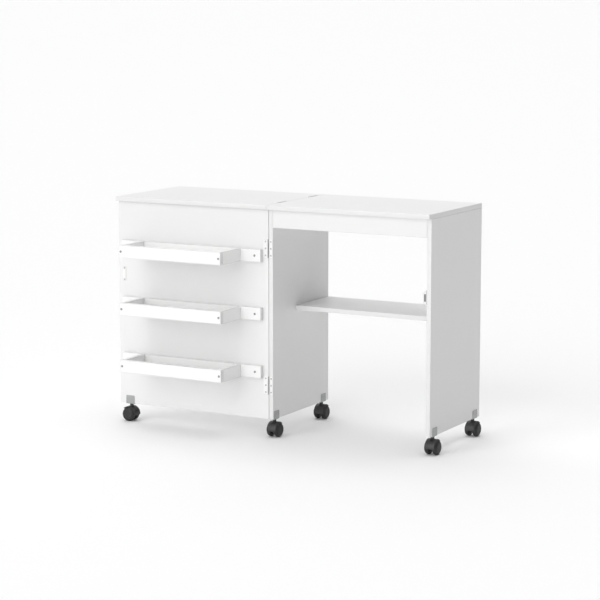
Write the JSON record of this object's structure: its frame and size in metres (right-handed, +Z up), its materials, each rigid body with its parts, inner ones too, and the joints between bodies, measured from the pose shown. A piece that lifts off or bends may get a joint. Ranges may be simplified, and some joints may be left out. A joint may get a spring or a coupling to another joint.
{
  "type": "folding sewing table",
  "caption": "White sewing table on casters: open cabinet with a shelf, a door carrying storage trays, and a folding leaf level with the top.",
  "frame": {"origin": "bottom centre of the opened table's box, on the floor", "axes": "+X along the front from the door towards the cabinet, +Y from the trays at the front to the back, +Z up"},
  "size_m": [1.189, 0.5274, 0.7777],
  "materials": {
    "white_board": "satin white melamine facing",
    "white_metal": "white powder coat",
    "white_plastic": "satin moulded plastic",
    "zinc": "zinc plated",
    "steel": "plain steel",
    "black_nylon": "moulded nylon, fine texture"
  },
  "bodies": {
    "cabinet": {"left_side_panel": "white_board", "right_side_panel": "white_board", "top_panel": "white_board", "front_apron": "white_board", "back_rail": "white_board", "shelf": "white_board", "upper_hinge_cabinet_plate": "white_metal", "upper_hinge_pin": "steel", "lower_hinge_cabinet_plate": "white_metal", "lower_hinge_pin": "steel", "leaf_hinge_front_top_plate": "white_metal", "leaf_hinge_back_top_plate": "white_metal", "catch_body": "white_plastic", "front_left_caster_bracket": "zinc", "back_left_caster_bracket": "zinc", "front_right_caster_bracket": "zinc", "back_right_caster_bracket": "zinc"},
    "leaf": {"leaf_panel": "white_board", "leaf_hinge_front_leaf_plate": "white_metal", "leaf_hinge_back_leaf_plate": "white_metal"},
    "door": {"door_panel": "white_board", "upper_hinge_door_plate": "white_metal", "lower_hinge_door_plate": "white_metal", "strike_plate": "white_metal", "door_caster_bracket": "zinc", "upper_tray_rail": "white_board", "upper_tray_front": "white_board", "upper_tray_left_end": "white_board", "upper_tray_right_end": "white_board", "upper_tray_bottom": "white_board", "middle_tray_rail": "white_board", "middle_tray_front": "white_board", "middle_tray_left_end": "white_board", "middle_tray_right_end": "white_board", "middle_tray_bottom": "white_board", "lower_tray_rail": "white_board", "lower_tray_front": "white_board", "lower_tray_left_end": "white_board", "lower_tray_right_end": "white_board", "lower_tray_bottom": "white_board"},
    "front_left_caster": {"front_left_caster_housing": "black_nylon", "front_left_caster_axle": "steel"},
    "front_left_left_wheel": {"front_left_caster_left_wheel": "black_nylon"},
    "front_left_right_wheel": {"front_left_caster_right_wheel": "black_nylon"},
    "back_left_caster": {"back_left_caster_housing": "black_nylon", "back_left_caster_axle": "steel"},
    "back_left_left_wheel": {"back_left_caster_left_wheel": "black_nylon"},
    "back_left_right_wheel": {"back_left_caster_right_wheel": "black_nylon"},
    "front_right_caster": {"front_right_caster_housing": "black_nylon", "front_right_caster_axle": "steel"},
    "front_right_left_wheel": {"front_right_caster_left_wheel": "black_nylon"},
    "front_right_right_wheel": {"front_right_caster_right_wheel": "black_nylon"},
    "back_right_caster": {"back_right_caster_housing": "black_nylon", "back_right_caster_axle": "steel"},
    "back_right_left_wheel": {"back_right_caster_left_wheel": "black_nylon"},
    "back_right_right_wheel": {"back_right_caster_right_wheel": "black_nylon"},
    "door_caster": {"door_caster_housing": "black_nylon", "door_caster_axle": "steel"},
    "door_left_wheel": {"door_caster_left_wheel": "black_nylon"},
    "door_right_wheel": {"door_caster_right_wheel": "black_nylon"}
  },
  "joints": [
    {"name": "door_swing", "type": "hinge", "parent": "cabinet", "child": "door", "pos_m": [-0.00775, -0.12305, 0.41], "axis": [0, 0, 1], "range_deg": [0, 180]},
    {"name": "leaf_fold", "type": "hinge", "parent": "cabinet", "child": "leaf", "pos_m": [-0.00775, 0.07165, 0.7755], "axis": [0, 1, 0], "range_deg": [0, 180]},
    {"name": "front_left_caster_swivel", "type": "hinge", "parent": "cabinet", "child": "front_left_caster", "pos_m": [0.0005, -0.09935, 0.0602], "axis": [0, 0, 1], "continuous": true},
    {"name": "front_left_left_wheel_spin", "type": "hinge", "parent": "front_left_caster", "child": "front_left_left_wheel", "pos_m": [0.0005, -0.09535, 0.024], "axis": [1, 0, 0], "continuous": true},
    {"name": "front_left_right_wheel_spin", "type": "hinge", "parent": "front_left_caster", "child": "front_left_right_wheel", "pos_m": [0.0005, -0.09535, 0.024], "axis": [1, 0, 0], "continuous": true},
    {"name": "back_left_caster_swivel", "type": "hinge", "parent": "cabinet", "child": "back_left_caster", "pos_m": [0.0005, 0.22665, 0.0602], "axis": [0, 0, 1], "continuous": true},
    {"name": "back_left_left_wheel_spin", "type": "hinge", "parent": "back_left_caster", "child": "back_left_left_wheel", "pos_m": [0.0005, 0.23065, 0.024], "axis": [1, 0, 0], "continuous": true},
    {"name": "back_left_right_wheel_spin", "type": "hinge", "parent": "back_left_caster", "child": "back_left_right_wheel", "pos_m": [0.0005, 0.23065, 0.024], "axis": [1, 0, 0], "continuous": true},
    {"name": "front_right_caster_swivel", "type": "hinge", "parent": "cabinet", "child": "front_right_caster", "pos_m": [0.5715, -0.08435, 0.0602], "axis": [0, 0, 1], "continuous": true},
    {"name": "front_right_left_wheel_spin", "type": "hinge", "parent": "front_right_caster", "child": "front_right_left_wheel", "pos_m": [0.5715, -0.08035, 0.024], "axis": [1, 0, 0], "continuous": true},
    {"name": "front_right_right_wheel_spin", "type": "hinge", "parent": "front_right_caster", "child": "front_right_right_wheel", "pos_m": [0.5715, -0.08035, 0.024], "axis": [1, 0, 0], "continuous": true},
    {"name": "back_right_caster_swivel", "type": "hinge", "parent": "cabinet", "child": "back_right_caster", "pos_m": [0.5715, 0.22665, 0.0602], "axis": [0, 0, 1], "continuous": true},
    {"name": "back_right_left_wheel_spin", "type": "hinge", "parent": "back_right_caster", "child": "back_right_left_wheel", "pos_m": [0.5715, 0.23065, 0.024], "axis": [1, 0, 0], "continuous": true},
    {"name": "back_right_right_wheel_spin", "type": "hinge", "parent": "back_right_caster", "child": "back_right_right_wheel", "pos_m": [0.5715, 0.23065, 0.024], "axis": [1, 0, 0], "continuous": true},
    {"name": "door_caster_swivel", "type": "hinge", "parent": "door", "child": "door_caster", "pos_m": [-0.556, -0.11285, 0.0602], "axis": [0, 0, 1], "continuous": true},
    {"name": "door_left_wheel_spin", "type": "hinge", "parent": "door_caster", "child": "door_left_wheel", "pos_m": [-0.56, -0.11285, 0.024], "axis": [0, 1, 0], "continuous": true},
    {"name": "door_right_wheel_spin", "type": "hinge", "parent": "door_caster", "child": "door_right_wheel", "pos_m": [-0.56, -0.11285, 0.024], "axis": [0, 1, 0], "continuous": true}
  ]
}
